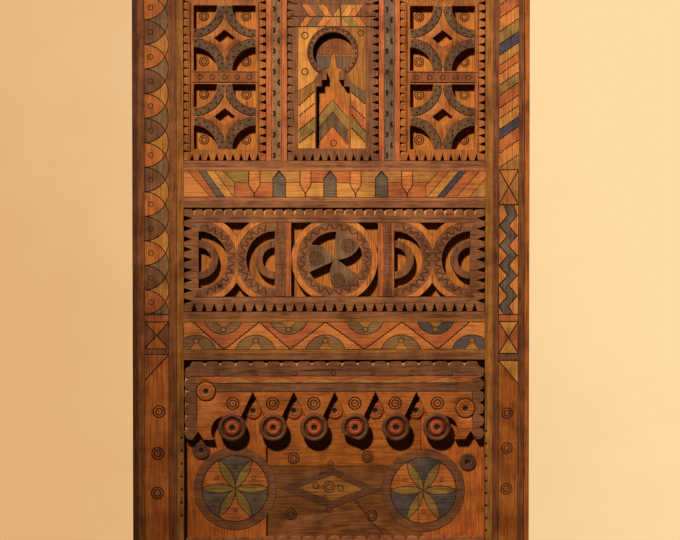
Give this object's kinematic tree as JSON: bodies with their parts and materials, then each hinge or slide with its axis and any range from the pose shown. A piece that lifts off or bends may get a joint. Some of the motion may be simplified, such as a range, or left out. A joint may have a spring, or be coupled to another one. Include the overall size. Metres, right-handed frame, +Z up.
{
  "type": "carved wooden door leaf",
  "caption": "Pivot-hung carved cedar door leaf: pegged frame with painted ornament, pierced lattice, keyhole and pinwheel panels and a bossed apron.",
  "frame": {"origin": "on the pivot axis, on the underside of the lower pivot block", "axes": "+Z up along the pivot axis, +X across the closed leaf towards the closing stile, -Y out of the carved face"},
  "size_m": [0.977, 0.09, 1.682],
  "materials": {
    "umber_cedar": "umber stain, worn",
    "orange_cedar": "orange cedar, hand cut",
    "ochre_board": "ochre limewash over cedar",
    "grey_cedar": "grey-brown weathered cedar",
    "red_cedar": "red earth stain",
    "raw_cedar": "bare cedar"
  },
  "bodies": {
    "pivot_blocks": {"lower_pivot_block": "raw_cedar", "upper_pivot_block": "raw_cedar"},
    "leaf": {"hanging_stile": "umber_cedar", "closing_stile": "umber_cedar", "top_rail": "umber_cedar", "upper_rail": "umber_cedar", "lower_rail": "umber_cedar", "bottom_rail": "umber_cedar", "left_muntin": "red_cedar", "right_muntin": "red_cedar", "upper_left_backboard": "ochre_board", "upper_centre_backboard": "ochre_board", "upper_right_backboard": "ochre_board", "middle_backboard": "ochre_board", "lower_left_board": "orange_cedar", "lower_centre_top_board": "orange_cedar", "lower_centre_board": "orange_cedar", "lower_right_board": "orange_cedar", "left_lattice": "orange_cedar", "right_lattice": "orange_cedar", "keyhole_panel": "ochre_board", "pinwheel_panel": "umber_cedar", "apron": "orange_cedar", "toe_strip": "umber_cedar", "crescent_1": "ochre_board", "crescent_2": "ochre_board", "crescent_3": "ochre_board", "crescent_4": "ochre_board", "boss_1": "umber_cedar", "boss_2": "umber_cedar", "boss_3": "umber_cedar", "boss_4": "umber_cedar", "boss_5": "umber_cedar", "boss_6": "umber_cedar", "boss_button_1": "red_cedar", "boss_button_2": "red_cedar", "boss_button_3": "red_cedar", "boss_button_4": "red_cedar", "boss_button_5": "red_cedar", "boss_button_6": "red_cedar", "apron_roundel_left": "grey_cedar", "apron_roundel_right": "grey_cedar", "board_roundel_left": "grey_cedar", "board_roundel_right": "grey_cedar", "notch_roundel_1": "grey_cedar", "notch_roundel_2": "grey_cedar", "notch_roundel_3": "grey_cedar", "notch_roundel_4": "grey_cedar", "notch_roundel_5": "grey_cedar", "peg_1": "raw_cedar", "peg_2": "raw_cedar", "peg_3": "raw_cedar", "peg_4": "raw_cedar", "peg_5": "raw_cedar", "peg_6": "raw_cedar", "peg_7": "raw_cedar", "peg_8": "raw_cedar"}
  },
  "joints": [
    {"name": "door_swing", "type": "hinge", "parent": "pivot_blocks", "child": "leaf", "pos_m": [0, 0, 0], "axis": [0, 0, 1], "range_deg": [0, 105]}
  ]
}
